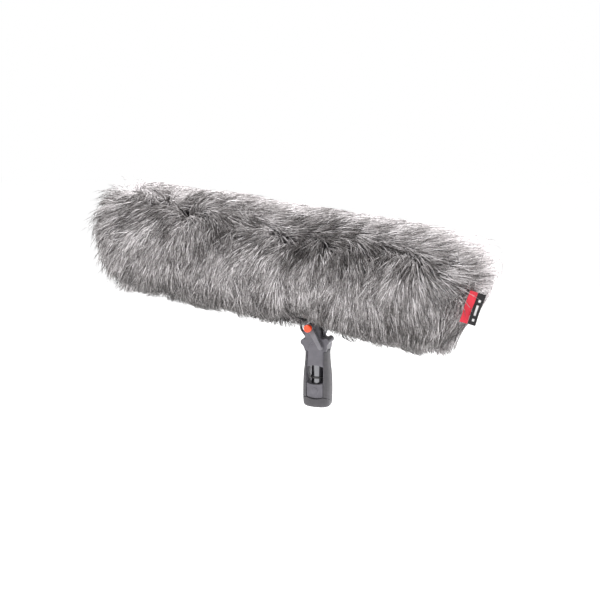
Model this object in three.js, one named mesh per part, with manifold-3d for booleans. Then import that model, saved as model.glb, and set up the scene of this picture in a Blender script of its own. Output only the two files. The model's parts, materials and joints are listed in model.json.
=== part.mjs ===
// A furry windscreen for a shotgun microphone: a cage basket in a fur cover,
// with a shock mount inside it and a pistol grip below it.
// Millimetres, +Z up. The origin is the centre of the grip's underside, and the
// tube runs along +X towards its labelled rear end.
import * as THREE from 'three';
import { mergeVertices } from 'three/addons/utils/BufferGeometryUtils.js';
import Module from 'manifold-3d';

const wasm = await Module();
wasm.setup();

// ---------------------------------------------------------------- dimensions
const GAP = 0.3; // between pieces that touch
const TUBE_SIDES = 24; // facets round the basket
const FUR_SIDES = 32; // facets round the fur

// tilt joint
const PIVOT = { x: -6, z: 119 };
const REST_TILT = THREE.MathUtils.degToRad(7.9); // rear end down
const DISC_R = 22;
const DISC_HALF = 3;
const CHEEK_R = 10;

// tube
const AXIS_Z = 202; // tube axis above the origin, before the tilt
const CAGE_R = 50;
const CAGE_WALL = 2;
const CAGE_FRONT = -272;
const CAGE_REAR = 152;
const RING_LENGTH = 7.7;
const FRONT_DOME_DEPTH = 38;
const REAR_DOME_DEPTH = 30;
const NET_WALL = 0.5;

// fur cover
const LINING_R = 51.5;
const FUR_R = 79;
const FUR_SEAM_FRONT = -284;
const FUR_SEAM_REAR = 200;
const FUR_FRONT_DEPTH = 76;
const FUR_REAR_DEPTH = 19;
const SLOT_HALF_LENGTH = 34;
const SLOT_HALF_WIDTH = 15;
const ZIP_HALF_WIDTH = 6;

// grip
const GRIP_SQUARENESS = 2.6; // exponent of its superellipse section
const PANEL_HALF = 12.5;
const FACE_Y = 12.6; // flat near and far faces of the core
const SKIN = 3.2;
const WINDOW_HALF = 12;
const WINDOW_LOW = 36;
const WINDOW_HIGH = 62;
const BASE_TOP = 15.4;
const SMILE = 2.2; // how far the curved edges dip at the middle
const COLUMN_R = 9;
const HEAD_BOTTOM = 83;
const HORN = { front: { x: -17.8, z: 95.2 }, rear: { x: 15.8, z: 98 }, r: 4.8 };
const THREAD_R = 4.76; // 3/8 inch pole thread

// shock mount
const RAIL_LOW = 156;
const RAIL_HIGH = 160;
const RAIL_HALF = 8;
const RAIL_FRONT = -262;
const RAIL_REAR = 132;
const LYRE_X = { front: -170, rear: 60 };
const CLIP_R = 10.5;
const FOOT_SCREW_X = [PIVOT.x - 16, PIVOT.x + 16];

// ----------------------------------------------------------------- materials
function material(colour, roughness, metalness = 0) {
  return new THREE.MeshStandardMaterial({ color: colour, roughness, metalness });
}
const looks = {
  fur: material('#8a8482', 0.95),
  fabric: material('#3a3838', 0.9),
  ribbon: material('#d8404e', 0.8),
  plastic: material('#55525a', 0.6),
  rubber: material('#46444a', 0.75),
  dark: material('#1c1a1c', 0.5),
  red: material('#ff4a2e', 0.35),
  chrome: material('#d4d4d8', 0.12, 1),
  steel: material('#8c8e92', 0.35, 1),
  brass: material('#b08d4c', 0.35, 1),
  mesh: material('#262628', 0.8),
};

// ------------------------------------------------------------- solid helpers
function solid(geometry) {
  const bare = geometry.clone();
  bare.deleteAttribute('normal');
  bare.deleteAttribute('uv');
  const merged = mergeVertices(bare, 1e-4);
  const mesh = new wasm.Mesh({
    numProp: 3,
    vertProperties: new Float32Array(merged.attributes.position.array),
    triVerts: new Uint32Array(merged.index.array),
  });
  return new wasm.Manifold(mesh);
}

function geometryOf(shape) {
  const { vertProperties, triVerts, numProp } = shape.getMesh();
  const geometry = new THREE.BufferGeometry();
  const position = new Float32Array((vertProperties.length / numProp) * 3);
  for (let i = 0; i < position.length / 3; i += 1) {
    for (let k = 0; k < 3; k += 1) position[3 * i + k] = vertProperties[numProp * i + k];
  }
  geometry.setAttribute('position', new THREE.BufferAttribute(position, 3));
  geometry.setIndex(new THREE.BufferAttribute(new Uint32Array(triVerts), 1));
  geometry.computeVertexNormals();
  return geometry;
}

const join = (first, ...others) => others.reduce((sum, shape) => sum.add(shape), first);
const cut = (first, ...others) => others.reduce((sum, shape) => sum.subtract(shape), first);

// a box given by its lowest and highest corners
function box([x0, y0, z0], [x1, y1, z1]) {
  const geometry = new THREE.BoxGeometry(x1 - x0, y1 - y0, z1 - z0);
  geometry.translate((x0 + x1) / 2, (y0 + y1) / 2, (z0 + z1) / 2);
  return solid(geometry);
}

// a closed outline without the points that lie on a straight run
function corners(outline) {
  return outline.filter(([x, z], i) => {
    const [x0, z0] = outline.at(i - 1);
    const [x1, z1] = outline[(i + 1) % outline.length];
    return Math.abs((x - x0) * (z1 - z) - (x1 - x) * (z - z0)) > 1e-3;
  });
}

// an outline of [x, z] points or a Shape, extruded along Y between two values
function plate(outline, y0, y1, bevel = 0) {
  const shape = outline instanceof THREE.Shape
    ? outline
    : new THREE.Shape(corners(outline).map(([x, z]) => new THREE.Vector2(x, z)));
  const geometry = new THREE.ExtrudeGeometry(shape, {
    depth: y1 - y0 - 2 * bevel,
    curveSegments: 6,
    bevelEnabled: bevel > 0,
    bevelThickness: bevel,
    bevelSize: bevel,
    bevelOffset: -bevel,
    bevelSegments: 2,
  });
  geometry.rotateX(Math.PI / 2); // shape's y becomes z, depth runs along -Y
  geometry.translate(0, y1 - bevel, 0);
  return solid(geometry);
}

// a profile of [radius, along] points turned about an axis
function turned(profile, axis, segments) {
  const points = profile.map(([r, along]) => new THREE.Vector2(r, along));
  const geometry = new THREE.LatheGeometry(points, segments);
  if (axis === 'x') geometry.rotateZ(-Math.PI / 2);
  if (axis === 'z') geometry.rotateX(Math.PI / 2);
  return geometry;
}

// a turned solid; its profile may run either way round
function lathe(profile, axis, segments = 32) {
  const shape = solid(turned(profile, axis, segments));
  return shape.volume() > 0 ? shape : solid(turned([...profile].reverse(), axis, segments));
}

const rod = (axis, radius, from, to, segments) =>
  lathe([[0, from], [radius, from], [radius, to], [0, to]], axis, segments);

const sleeve = (axis, inner, outer, from, to, segments) =>
  lathe([[inner, from], [outer, from], [outer, to], [inner, to], [inner, from]],
    axis, segments);

// a round bar along a curve
function bar(points, radius, steps) {
  const curve = new THREE.CatmullRomCurve3(points.map((p) => new THREE.Vector3(...p)));
  const ring = new THREE.Shape();
  ring.absarc(0, 0, radius, 0, 2 * Math.PI, false);
  return solid(new THREE.ExtrudeGeometry(ring, {
    extrudePath: curve, steps, curveSegments: 3, bevelEnabled: false,
  }));
}

const atPivot = (shape) => shape.translate([PIVOT.x, 0, PIVOT.z]);
const onAxis = (shape) => shape.translate([0, 0, AXIS_Z]);

// -------------------------------------------------------------- scene groups
const windscreen = new THREE.Group();
const grip = new THREE.Group();
const tilting = new THREE.Group(); // turns about the pivot
const screen = new THREE.Group(); // inside it, in the untilted frame
tilting.position.set(PIVOT.x, 0, PIVOT.z);
tilting.rotation.y = REST_TILT;
screen.position.set(-PIVOT.x, 0, -PIVOT.z);
tilting.add(screen);
windscreen.add(grip, tilting);

function piece(group, name, shape, look) {
  const mesh = new THREE.Mesh(geometryOf(shape), look);
  mesh.name = name;
  group.add(mesh);
}

// ---------------------------------------------------------------------- grip
const HALF_WIDTH = [
  [0, 17.6], [1.5, 19.8], [5, 21], [16, 21.4], [30, 21.4], [42, 21], [52, 20.2],
  [62, 19], [70, 18.2], [79, 17.8], [88, 18.4],
];
const HALF_DEPTH = [
  [0, 13.6], [1.5, 15.6], [5, 16.6], [16, 16.8], [30, 16.8], [45, 16.4], [60, 15.8],
  [70, 15.5], [79, 15.4], [88, 15.4],
];

// value of a table of [z, value] at a height, eased between its rows
function along(table, z) {
  const last = table.length - 1;
  let i = table.findIndex(([height]) => height > z) - 1;
  if (i < 0) i = z <= table[0][0] ? 0 : last - 1;
  const [z0, v0] = table[i];
  const [z1, v1] = table[i + 1];
  const t = THREE.MathUtils.clamp((z - z0) / (z1 - z0), 0, 1);
  const slope = (a, b) => (b[1] - a[1]) / (b[0] - a[0]);
  const m0 = i > 0 ? slope(table[i - 1], table[i + 1]) : slope(table[0], table[1]);
  const m1 = i + 1 < last ? slope(table[i], table[i + 2]) : slope(table[i], table[last]);
  const h = z1 - z0;
  return v0 * (2 * t ** 3 - 3 * t ** 2 + 1) + m0 * h * (t ** 3 - 2 * t ** 2 + t)
    + v1 * (3 * t ** 2 - 2 * t ** 3) + m1 * h * (t ** 3 - t ** 2);
}

// the grip's outer form, a stack of superellipses, shrunk by an inset
function gripForm(inset, low, high, rows = 14, segments = 28) {
  const position = [];
  const index = [];
  const power = 2 / GRIP_SQUARENESS;
  const bend = (v) => Math.sign(v) * Math.abs(v) ** power;
  for (let row = 0; row < rows; row += 1) {
    const z = low + (high - low) * (row / (rows - 1)) ** 1.4; // closer rows at the foot
    const a = along(HALF_WIDTH, z) - inset;
    const b = along(HALF_DEPTH, z) - inset;
    for (let k = 0; k < segments; k += 1) {
      const angle = (2 * Math.PI * k) / segments;
      position.push(a * bend(Math.cos(angle)), b * bend(Math.sin(angle)), z);
    }
  }
  const bottom = rows * segments;
  position.push(0, 0, low, 0, 0, high);
  for (let row = 0; row < rows - 1; row += 1) {
    for (let k = 0; k < segments; k += 1) {
      const p = row * segments + k;
      const q = row * segments + ((k + 1) % segments);
      index.push(p, q, q + segments, p, q + segments, p + segments);
    }
  }
  for (let k = 0; k < segments; k += 1) {
    const next = (k + 1) % segments;
    const top = (rows - 1) * segments;
    index.push(bottom, next, k, bottom + 1, top + k, top + next);
  }
  const geometry = new THREE.BufferGeometry();
  geometry.setAttribute('position', new THREE.Float32BufferAttribute(position, 3));
  geometry.setIndex(index);
  return solid(geometry);
}

// points of a shallow curved edge across the panel, lowest at the middle
function smile(z, half, steps = 10) {
  return Array.from({ length: steps + 1 }, (_, i) => {
    const x = -half + (2 * half * i) / steps;
    return [x, z - SMILE * (1 - (x / half) ** 2)];
  });
}

// outline of the base cap: a curved top edge that sweeps down at both sides
function baseOutline(extra) {
  const outer = 26;
  const sweep = [0, 0.25, 0.5, 0.75, 1].map((t) => [
    PANEL_HALF + (22 - PANEL_HALF) * Math.sin((t * Math.PI) / 2),
    BASE_TOP - 9.5 * (1 - Math.cos((t * Math.PI) / 2)) + extra,
  ]);
  const right = [...sweep, [outer, BASE_TOP - 10.5 + extra]];
  const left = right.map(([x, z]) => [-x, z]).reverse();
  const middle = smile(BASE_TOP + extra, PANEL_HALF).slice(1, -1);
  return [[-outer, -5], [outer, -5], ...right.reverse(), ...middle.reverse(), ...left.reverse()];
}

// outline of the yoke: neck, two horn lobes and the cheek round the pivot
function headOutline() {
  const shape = new THREE.Shape();
  const { front, rear, r } = HORN;
  shape.moveTo(-16.2, HEAD_BOTTOM);
  shape.quadraticCurveTo(-16.8, 87.5, front.x - 0.37 * r, front.z - 0.93 * r);
  shape.absarc(front.x, front.z, r, -1.95, 0.95 - 2 * Math.PI, true);
  shape.lineTo(front.x + 0.4 * r, 102.6);
  shape.lineTo(PIVOT.x - CHEEK_R, PIVOT.z - 3);
  shape.absarc(PIVOT.x, PIVOT.z, CHEEK_R, Math.PI, 0, true);
  shape.lineTo(6.5, 107);
  shape.quadraticCurveTo(8, 101.5, rear.x - 0.8 * r, rear.z + 0.6 * r);
  shape.absarc(rear.x, rear.z, r, 2.5, -1.1, true);
  shape.quadraticCurveTo(17.6, 88.5, 16.2, HEAD_BOTTOM);
  return shape;
}

// outline of the core just inside the skins, grown by an amount
function coreOutline(grown) {
  const steps = 8;
  const low = BASE_TOP + 1;
  const high = HEAD_BOTTOM + 1.5;
  const side = Array.from({ length: steps + 1 }, (_, i) => {
    const z = low + ((high - low) * i) / steps;
    return [along(HALF_WIDTH, z) - SKIN - GAP + grown, z];
  });
  const left = side.map(([x, z]) => [-x, z]).reverse();
  return [...smile(BASE_TOP + GAP, PANEL_HALF), ...side, ...left];
}

function windowOutline() {
  const low = smile(WINDOW_LOW, WINDOW_HALF);
  const high = smile(WINDOW_HIGH, WINDOW_HALF).map(([x, z]) => [x, 2 * WINDOW_HIGH - z - SMILE]);
  return [...low, ...high.reverse()];
}

const BASE_SCREW_X = [-13.6, 13.6];
const baseScrewBores = () => BASE_SCREW_X.map((x) => rod('z', 1.9, 0, 27, 12).translate([x, 0, 0]));

function gripCore() {
  const lower = plate(coreOutline(0), -FACE_Y, FACE_Y).intersect(gripForm(1.4, 10, 88));
  const head = plate(headOutline(), -FACE_Y, FACE_Y);
  const slot = atPivot(rod('y', DISC_R + 0.6, -DISC_HALF - 0.4, DISC_HALF + 0.4, 32));
  const slotTop = box([PIVOT.x - 40, -DISC_HALF - 0.4, PIVOT.z], [PIVOT.x + 40, DISC_HALF + 0.4, 140]);
  const grooves = [0, 2.8].map((shift) => box([-6.5, -20, -0.45], [6.5, -FACE_Y + 0.9, 0.45])
    .rotate([0, -40, 0]).translate([-8.2 + shift * 0.64, 0, 93.4 - shift * 0.77]));
  return cut(
    join(lower, head),
    slot,
    slotTop,
    atPivot(rod('y', 3.3, -30, 30, 20)),
    rod('z', COLUMN_R + GAP, 5, 84.5, 24),
    plate(windowOutline(), -30, 30),
    ...baseScrewBores(),
    ...grooves,
  );
}

function gripSkin(side) {
  const keep = side < 0
    ? box([-40, -30, 0], [-PANEL_HALF - GAP, 30, 84.5])
    : box([PANEL_HALF + GAP, -30, 0], [40, 30, 84.5]);
  const outer = gripForm(0, 0, 88).intersect(keep);
  const head = plate(headOutline(), -FACE_Y - GAP, FACE_Y + GAP).translate([0, 0, -GAP]);
  const hollow = plate(coreOutline(GAP), -FACE_Y - GAP, FACE_Y + GAP).intersect(gripForm(1.1, 8, 88));
  return cut(outer, hollow, plate(baseOutline(GAP), -30, 30), head, ...baseScrewBores());
}

function baseCap() {
  const form = gripForm(0, 0, 20, 8).intersect(plate(baseOutline(0), -30, 30));
  const heads = BASE_SCREW_X.map((x) => rod('z', 3.4, -1, 3.4, 12).translate([x, 0, 0]));
  return cut(form, rod('z', 7.3, -1, 12.8, 20), ...heads, ...baseScrewBores());
}

function emblemPlate(side) {
  const low = smile(BASE_TOP + 0.5, PANEL_HALF - 0.4);
  const high = smile(WINDOW_LOW, PANEL_HALF - 0.4).reverse();
  const near = plate([...low, ...high], -FACE_Y - 1.5, -FACE_Y - GAP);
  const disc = new THREE.Shape();
  disc.absellipse(0, 24.6, 4.2, 5.6, 0, 2 * Math.PI, false);
  const emblem = plate(disc, -FACE_Y - 2, -FACE_Y - 1);
  const whole = near.add(emblem);
  return side < 0 ? whole : whole.rotate([0, 0, 180]);
}

piece(grip, 'grip_core', gripCore(), looks.plastic);
piece(grip, 'grip_skin_front', gripSkin(-1), looks.rubber);
piece(grip, 'grip_skin_rear', gripSkin(1), looks.rubber);
piece(grip, 'emblem_plate_near', emblemPlate(-1), looks.plastic);
piece(grip, 'emblem_plate_far', emblemPlate(1), looks.plastic);
piece(grip, 'base_cap', baseCap(), looks.rubber);
piece(grip, 'thread_insert', sleeve('z', THREAD_R, 7, 0.2, 12.5, 20), looks.brass);
BASE_SCREW_X.forEach((x, i) => {
  const screw = join(rod('z', 3, 0.6, 3.1, 16), rod('z', 1.5, 3, 25, 12));
  piece(grip, ['base_screw_front', 'base_screw_rear'][i], screw.translate([x, 0, 0]), looks.steel);
});
piece(grip, 'column_tube', sleeve('z', 7.2, COLUMN_R, 16.2, 84, 24), looks.chrome);
piece(grip, 'column_collar', sleeve('z', COLUMN_R + GAP, 10.4, 42, 44.6, 24), looks.dark);

// --------------------------------------------------------------------- clamp
const NEAR = -FACE_Y - GAP; // outer face of the near cheek, with its gap
const HUB = { low: -21.8, top: -27.5, r: 5.6, spigot: 4.3 };
const LEVER = { length: 35.8, angle: THREE.MathUtils.degToRad(-61), root: 4.2, tip: 3.1 };
const BUTTON = { face: -31, rim: -24.5, r: 5.5, inner: 4.6, travel: 2.5 };

function clampScrew() {
  return atPivot(join(rod('y', 3, -17.2, 20, 20), rod('y', 5, 19.9, 22, 6)));
}

function leverArm() {
  const hub = join(
    rod('y', HUB.r, HUB.low, NEAR - 1.6, 20),
    rod('y', HUB.spigot, HUB.top, HUB.low + 1, 16),
  );
  const arm = new THREE.Shape();
  arm.moveTo(0, -LEVER.root);
  arm.lineTo(LEVER.length - LEVER.tip, -LEVER.tip);
  arm.absarc(LEVER.length - LEVER.tip, 0, LEVER.tip, -Math.PI / 2, Math.PI / 2, false);
  arm.lineTo(0, LEVER.root);
  const blade = plate(arm, HUB.low, HUB.low + 5.2, 0.8)
    .rotate([0, -THREE.MathUtils.radToDeg(LEVER.angle), 0]);
  const bore = rod('y', 3.3, -19, 0, 20);
  const pocket = rod('y', 3.2, -40, -18.5, 20);
  return atPivot(cut(join(hub, blade), bore, pocket));
}

function releaseButton() {
  const profile = [
    [0, BUTTON.face], [BUTTON.r - 1.4, BUTTON.face], [BUTTON.r - 0.4, BUTTON.face + 0.5],
    [BUTTON.r, BUTTON.face + 1.5], [BUTTON.r, BUTTON.rim], [BUTTON.inner, BUTTON.rim],
    [BUTTON.inner, BUTTON.face + 0.8], [0, BUTTON.face + 0.8],
  ];
  return atPivot(lathe(profile, 'y', 20));
}

piece(grip, 'clamp_screw', clampScrew(), looks.steel);
piece(grip, 'clamp_nut', atPivot(cut(rod('y', 7, 14.5, 19.5, 6), rod('y', 3.3, 10, 25, 20))), looks.steel);
piece(grip, 'clamp_washer_near', atPivot(sleeve('y', 3.3, 7, NEAR - 1.2, NEAR, 16)), looks.steel);
piece(grip, 'clamp_washer_far', atPivot(sleeve('y', 3.3, 8, -NEAR, -NEAR + 1.2, 16)), looks.steel);
piece(grip, 'clamp_lever', leverArm(), looks.plastic);
piece(grip, 'button_spring', atPivot(sleeve('y', 1.8, 2.8, -29.8, -18.8, 16)), looks.steel);
piece(grip, 'release_button', releaseButton(), looks.red);

// ----------------------------------------------------------------- tilt head
const PAD = { half: 24, low: 137, y: 10 };

function tiltHead() {
  const disc = new THREE.Shape();
  disc.absarc(0, 0, DISC_R, 0, 2 * Math.PI, false);
  const windows = [[150, 222], [234, 306], [318, 390]].map(([from, to]) => {
    const a = THREE.MathUtils.degToRad(from);
    const b = THREE.MathUtils.degToRad(to);
    const hole = new THREE.Path();
    hole.absarc(0, 0, 19.4, a, b, false);
    hole.absarc(0, 0, 11, b, a, true);
    return hole;
  });
  disc.holes.push(...windows);
  const wheel = atPivot(plate(disc, -DISC_HALF, DISC_HALF));
  const web = box([PIVOT.x - 15, -DISC_HALF, 134], [PIVOT.x + 15, DISC_HALF, 139]);
  const pad = box([PIVOT.x - PAD.half, -PAD.y, PAD.low], [PIVOT.x + PAD.half, PAD.y, 156]);
  const tube = onAxis(rod('x', CAGE_R + GAP, -60, 60, TUBE_SIDES));
  const bores = FOOT_SCREW_X.map((x) => rod('z', 2.2, 140, 170, 14).translate([x, 0, 0]));
  return cut(join(wheel, web, pad.subtract(tube)), atPivot(rod('y', 3.3, -9, 9, 20)), ...bores);
}

piece(screen, 'tilt_head', tiltHead(), looks.plastic);
FOOT_SCREW_X.forEach((x, i) => {
  const screw = join(rod('z', 1.9, 141, RAIL_HIGH + 1, 14), rod('z', 3.6, RAIL_HIGH + GAP, 163, 16));
  piece(screen, ['foot_screw_front', 'foot_screw_rear'][i], screw.translate([x, 0, 0]), looks.steel);
});

// --------------------------------------------------------------- basket cage
const screwBore = (radius) => FOOT_SCREW_X.map((x) => rod('z', radius, 145, 175, 14).translate([x, 0, 0]));

// a tube with rows of windows, left whole round the foot screws
function cage() {
  const bays = 5;
  const windows = 8;
  const hoop = 7;
  const shell = onAxis(sleeve('x', CAGE_R - CAGE_WALL, CAGE_R, CAGE_FRONT, CAGE_REAR, TUBE_SIDES));
  const pad = box([PIVOT.x - 28, -13, 130], [PIVOT.x + 28, 13, 170]);
  const pitch = (CAGE_REAR - CAGE_FRONT - hoop) / bays;
  const openings = [];
  for (let bay = 0; bay < bays; bay += 1) {
    const start = CAGE_FRONT + hoop + pitch * bay;
    for (let i = 0; i < windows; i += 1) {
      const window = box([start, -15.2, 40], [start + pitch - hoop, 15.2, 60])
        .rotate([(360 * (i + 0.5)) / windows, 0, 0]);
      openings.push(onAxis(window).subtract(pad));
    }
  }
  return cut(shell, ...openings, ...screwBore(2.2));
}

// dome of a given depth on the flat end at x, opening towards the tube
function domeProfile(x, direction, depth, radius, wall) {
  const steps = 5;
  const arc = (r, d) => Array.from({ length: steps + 1 }, (_, i) => {
    const a = (Math.PI / 2) * (i / steps);
    return [r * Math.cos(a), x + direction * (3.5 + d * Math.sin(a))];
  });
  const outer = arc(radius, depth);
  const inner = arc(radius - wall, depth - wall).reverse();
  outer[steps][0] = 0;
  inner[0][0] = 0;
  return [[radius - wall, x], [radius, x], ...outer, ...inner, [radius - wall, x]];
}

// spoked dome: a shell cut by eight tapered slots
function spokedDome(x, direction, depth) {
  const shell = lathe(domeProfile(x, direction, depth, CAGE_R, CAGE_WALL), 'x', TUBE_SIDES);
  const start = x + direction * 9;
  const end = x + direction * 60;
  const slots = Array.from({ length: 8 }, (_, i) => {
    const turn = (Math.PI * (2 * i + 1)) / 8;
    const at = (r, w) => [
      r * Math.cos(turn) - w * Math.sin(turn), r * Math.sin(turn) + w * Math.cos(turn)];
    const wedge = plate([at(13, -2), at(47, -13), at(47, 13), at(13, 2)], 0, Math.abs(end - start));
    return wedge.rotate([0, 0, -90]).translate([Math.min(start, end), 0, 0]);
  });
  return onAxis(cut(shell, ...slots));
}

const NET_R = CAGE_R - CAGE_WALL - GAP; // outside of the net that lines the cage

const netTube = () => cut(
  onAxis(sleeve('x', NET_R - NET_WALL, NET_R, CAGE_FRONT, CAGE_REAR, TUBE_SIDES)),
  ...screwBore(2.4),
);

const domeNet = (x, direction, depth) => onAxis(lathe(
  domeProfile(x, direction, depth - CAGE_WALL - GAP, NET_R, NET_WALL), 'x', TUBE_SIDES));

const ENDS = [
  { name: 'front', x: CAGE_FRONT, direction: -1, depth: FRONT_DOME_DEPTH },
  { name: 'rear', x: CAGE_REAR, direction: 1, depth: REAR_DOME_DEPTH },
];

piece(screen, 'basket_cage', cage(), looks.dark);
piece(screen, 'basket_net', netTube(), looks.mesh);
ENDS.forEach(({ name, x, direction, depth }) => {
  const near = x + direction * GAP;
  const far = near + direction * RING_LENGTH;
  const base = far + direction * GAP;
  const ring = sleeve('x', CAGE_R - 4, CAGE_R, Math.min(near, far), Math.max(near, far), TUBE_SIDES);
  piece(screen, `${name}_ring`, onAxis(ring), looks.dark);
  piece(screen, `${name}_dome`, spokedDome(base, direction, depth), looks.dark);
  piece(screen, `${name}_dome_net`, domeNet(base, direction, depth), looks.mesh);
});

// --------------------------------------------------------------- shock mount
function rail() {
  const strip = box([RAIL_FRONT, -RAIL_HALF, RAIL_LOW], [RAIL_REAR, RAIL_HALF, RAIL_HIGH]);
  return cut(strip, ...screwBore(2.2));
}

function slider(x) {
  const block = box([x - 11, -10.5, RAIL_LOW + 0.8], [x + 11, 10.5, 167]);
  const channel = box([x - 12, -RAIL_HALF - GAP, 150], [x + 12, RAIL_HALF + GAP, RAIL_HIGH + GAP]);
  return cut(block, channel, rod('y', 2.3, -30, -2, 14).translate([x, 0, 163.6]));
}

function sliderScrew(x) {
  const shank = rod('y', 2, -13, -2.4, 14);
  const knob = rod('y', 4.2, -18, -12.9, 12);
  return join(shank, knob).translate([x, 0, 163.6]);
}

// springy arms that carry the clip from the slider
function lyre(x) {
  const arms = [-1, 1].map((side) => bar([
    [x, 0, 169.5], [x, side * 13, 170], [x, side * 26, 175], [x, side * 33, 185],
    [x, side * 31, 195], [x, side * 24, 199], [x, side * 15.4, AXIS_Z],
  ], 1.9, 10));
  const foot = box([x - 4, -8, 167 + GAP], [x + 4, 8, 171.5]);
  return join(foot, ...arms);
}

// an open ring that snaps round the microphone, with lugs for the lyre's arms
function clip(x) {
  const ring = new THREE.Shape();
  const open = THREE.MathUtils.degToRad(35);
  ring.absarc(0, 0, CLIP_R + 2.6, Math.PI / 2 + open, Math.PI / 2 - open + 2 * Math.PI, false);
  ring.absarc(0, 0, CLIP_R, Math.PI / 2 - open + 2 * Math.PI, Math.PI / 2 + open, true);
  return plate(ring, -7, 7).rotate([0, 0, 90]).translate([x, 0, AXIS_Z]);
}

piece(screen, 'rail', rail(), looks.steel);
[['rail_stop_front', RAIL_FRONT + 4], ['rail_stop_rear', RAIL_REAR - 9]].forEach(([name, x]) => {
  piece(screen, name, box([x, -RAIL_HALF, RAIL_HIGH + GAP], [x + 5, RAIL_HALF, 165]), looks.dark);
});
Object.entries(LYRE_X).forEach(([end, x]) => {
  piece(screen, `${end}_slider`, slider(x), looks.plastic);
  piece(screen, `${end}_slider_screw`, sliderScrew(x), looks.steel);
  piece(screen, `${end}_lyre`, lyre(x), looks.dark);
  piece(screen, `${end}_clip`, clip(x), looks.dark);
});

// ----------------------------------------------------------------- fur cover
const FUR_ROUND = 22; // rounding of the blunt rear end
const RIM_R = 58; // where the flat of the rear end begins

// quarter turns of an ellipse about (r, x), as [radius, x] points
function arc(r, x, dr, dx, from, to, steps) {
  return Array.from({ length: steps + 1 }, (_, i) => {
    const a = THREE.MathUtils.degToRad(from + ((to - from) * i) / steps);
    return [Math.max(0, r + dr * Math.cos(a)), x + dx * Math.sin(a)];
  });
}

// the sleeve of the cover in three lengths, parted at the two ends of its opening
const SLOT_FRONT = PIVOT.x - SLOT_HALF_LENGTH;
const SLOT_REAR = PIVOT.x + SLOT_HALF_LENGTH;
const SLEEVE_TOP = AXIS_Z - 30; // above the sleeve's lower wall, inside its bore
const ZIP_END = FUR_SEAM_REAR - 12;

function tubeLength(from, to) {
  const wall = [[LINING_R, from], [FUR_R, from], [FUR_R, to], [LINING_R, to], [LINING_R, from]];
  return lathe(wall, 'x', FUR_SIDES);
}

function sleeveFront() {
  return onAxis(tubeLength(FUR_SEAM_FRONT, SLOT_FRONT));
}

function sleeveMiddle() {
  const opening = box([SLOT_FRONT - 1, -SLOT_HALF_WIDTH, 100], [SLOT_REAR + 1, SLOT_HALF_WIDTH, SLEEVE_TOP]);
  const pocket = atPivot(rod('y', 16, -38, 30, 20));
  return cut(onAxis(tubeLength(SLOT_FRONT + GAP, SLOT_REAR - GAP)), opening, pocket);
}

function sleeveRear() {
  const rounding = arc(RIM_R, FUR_SEAM_REAR - 3, FUR_R - RIM_R, FUR_ROUND, 0, 90, 8)
    .filter(([, x]) => x < FUR_SEAM_REAR);
  const body = lathe([
    [LINING_R, SLOT_REAR], [FUR_R, SLOT_REAR], [FUR_R, FUR_SEAM_REAR - 3], ...rounding.slice(1),
    [FUR_R - 0.6, FUR_SEAM_REAR], [LINING_R, FUR_SEAM_REAR], [LINING_R, SLOT_REAR],
  ], 'x', FUR_SIDES);
  const zip = box([SLOT_REAR - 1, -ZIP_HALF_WIDTH, 100], [ZIP_END, ZIP_HALF_WIDTH, SLEEVE_TOP]);
  return cut(onAxis(body), zip);
}

function furFrontCap() {
  const x = FUR_SEAM_FRONT - GAP;
  const outer = arc(0, x, FUR_R, -FUR_FRONT_DEPTH + GAP, 0, 90, 7);
  const inner = arc(0, x, LINING_R, -46, 90, 0, 5);
  return onAxis(lathe([...outer, ...inner, outer[0]], 'x', FUR_SIDES));
}

function furRearCap() {
  const x = FUR_SEAM_REAR + GAP;
  const edge = arc(RIM_R, x, FUR_R - RIM_R - 0.6, FUR_REAR_DEPTH, 0, 90, 6);
  return onAxis(lathe([[0, x], edge[0], ...edge.slice(1), [0, x + FUR_REAR_DEPTH]], 'x', FUR_SIDES));
}

// elastic binding round the opening for the grip
function slotBinding() {
  const [hx, hy, t] = [SLOT_HALF_LENGTH - GAP, SLOT_HALF_WIDTH - GAP, 1.6];
  const outer = box([PIVOT.x - hx, -hy, 146.5], [PIVOT.x + hx, hy, 150]);
  const inner = box([PIVOT.x - hx + t, -hy + t, 140], [PIVOT.x + hx - t, hy - t, 160]);
  return cut(outer, inner);
}

const ZIP = { low: 147.5, high: 149.5, from: SLOT_REAR + 1, to: ZIP_END - 1 };
const SLIDER_X = ZIP.to - 10;
const PULL_PIN_Z = ZIP.low - 5.2;

function zipSlider() {
  const body = box([SLIDER_X - 5, -3.8, ZIP.low - 2.6], [SLIDER_X + 5, 3.8, ZIP.low - GAP]);
  const lug = box([SLIDER_X - 2.5, -0.8, PULL_PIN_Z - 1.8], [SLIDER_X + 2.5, 0.8, ZIP.low - 2.5]);
  return cut(join(body, lug), rod('y', 1.1, -3, 3, 12).translate([SLIDER_X, 0, PULL_PIN_Z]));
}

// a forked tab that hangs straight down from the slider's lug
function zipPull() {
  const tab = box([-1.5, -2.6, -16], [1.5, 2.6, 1.5]);
  const fork = box([-4, -1.2, -3.4], [4, 1.2, 3]);
  return join(tab.subtract(fork), rod('y', 0.8, -1.6, 1.6, 10))
    .rotate([0, -THREE.MathUtils.radToDeg(REST_TILT), 0])
    .translate([SLIDER_X, 0, PULL_PIN_Z]);
}

// a folded label sewn into the rear seam, whose black half stands out behind it
const LABEL = { x: 204.5, y: -78.9, z: 184, turn: 20, lean: 9, fold: 10, end: 20.5, height: 41 };
const LABEL_THICKNESS = 1.1;

function labelHalf(from, to) {
  return box([from, -LABEL_THICKNESS, 0], [to, 0, LABEL.height])
    .rotate([0, LABEL.lean, 0])
    .rotate([0, 0, LABEL.turn])
    .translate([LABEL.x, LABEL.y, LABEL.z]);
}

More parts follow.
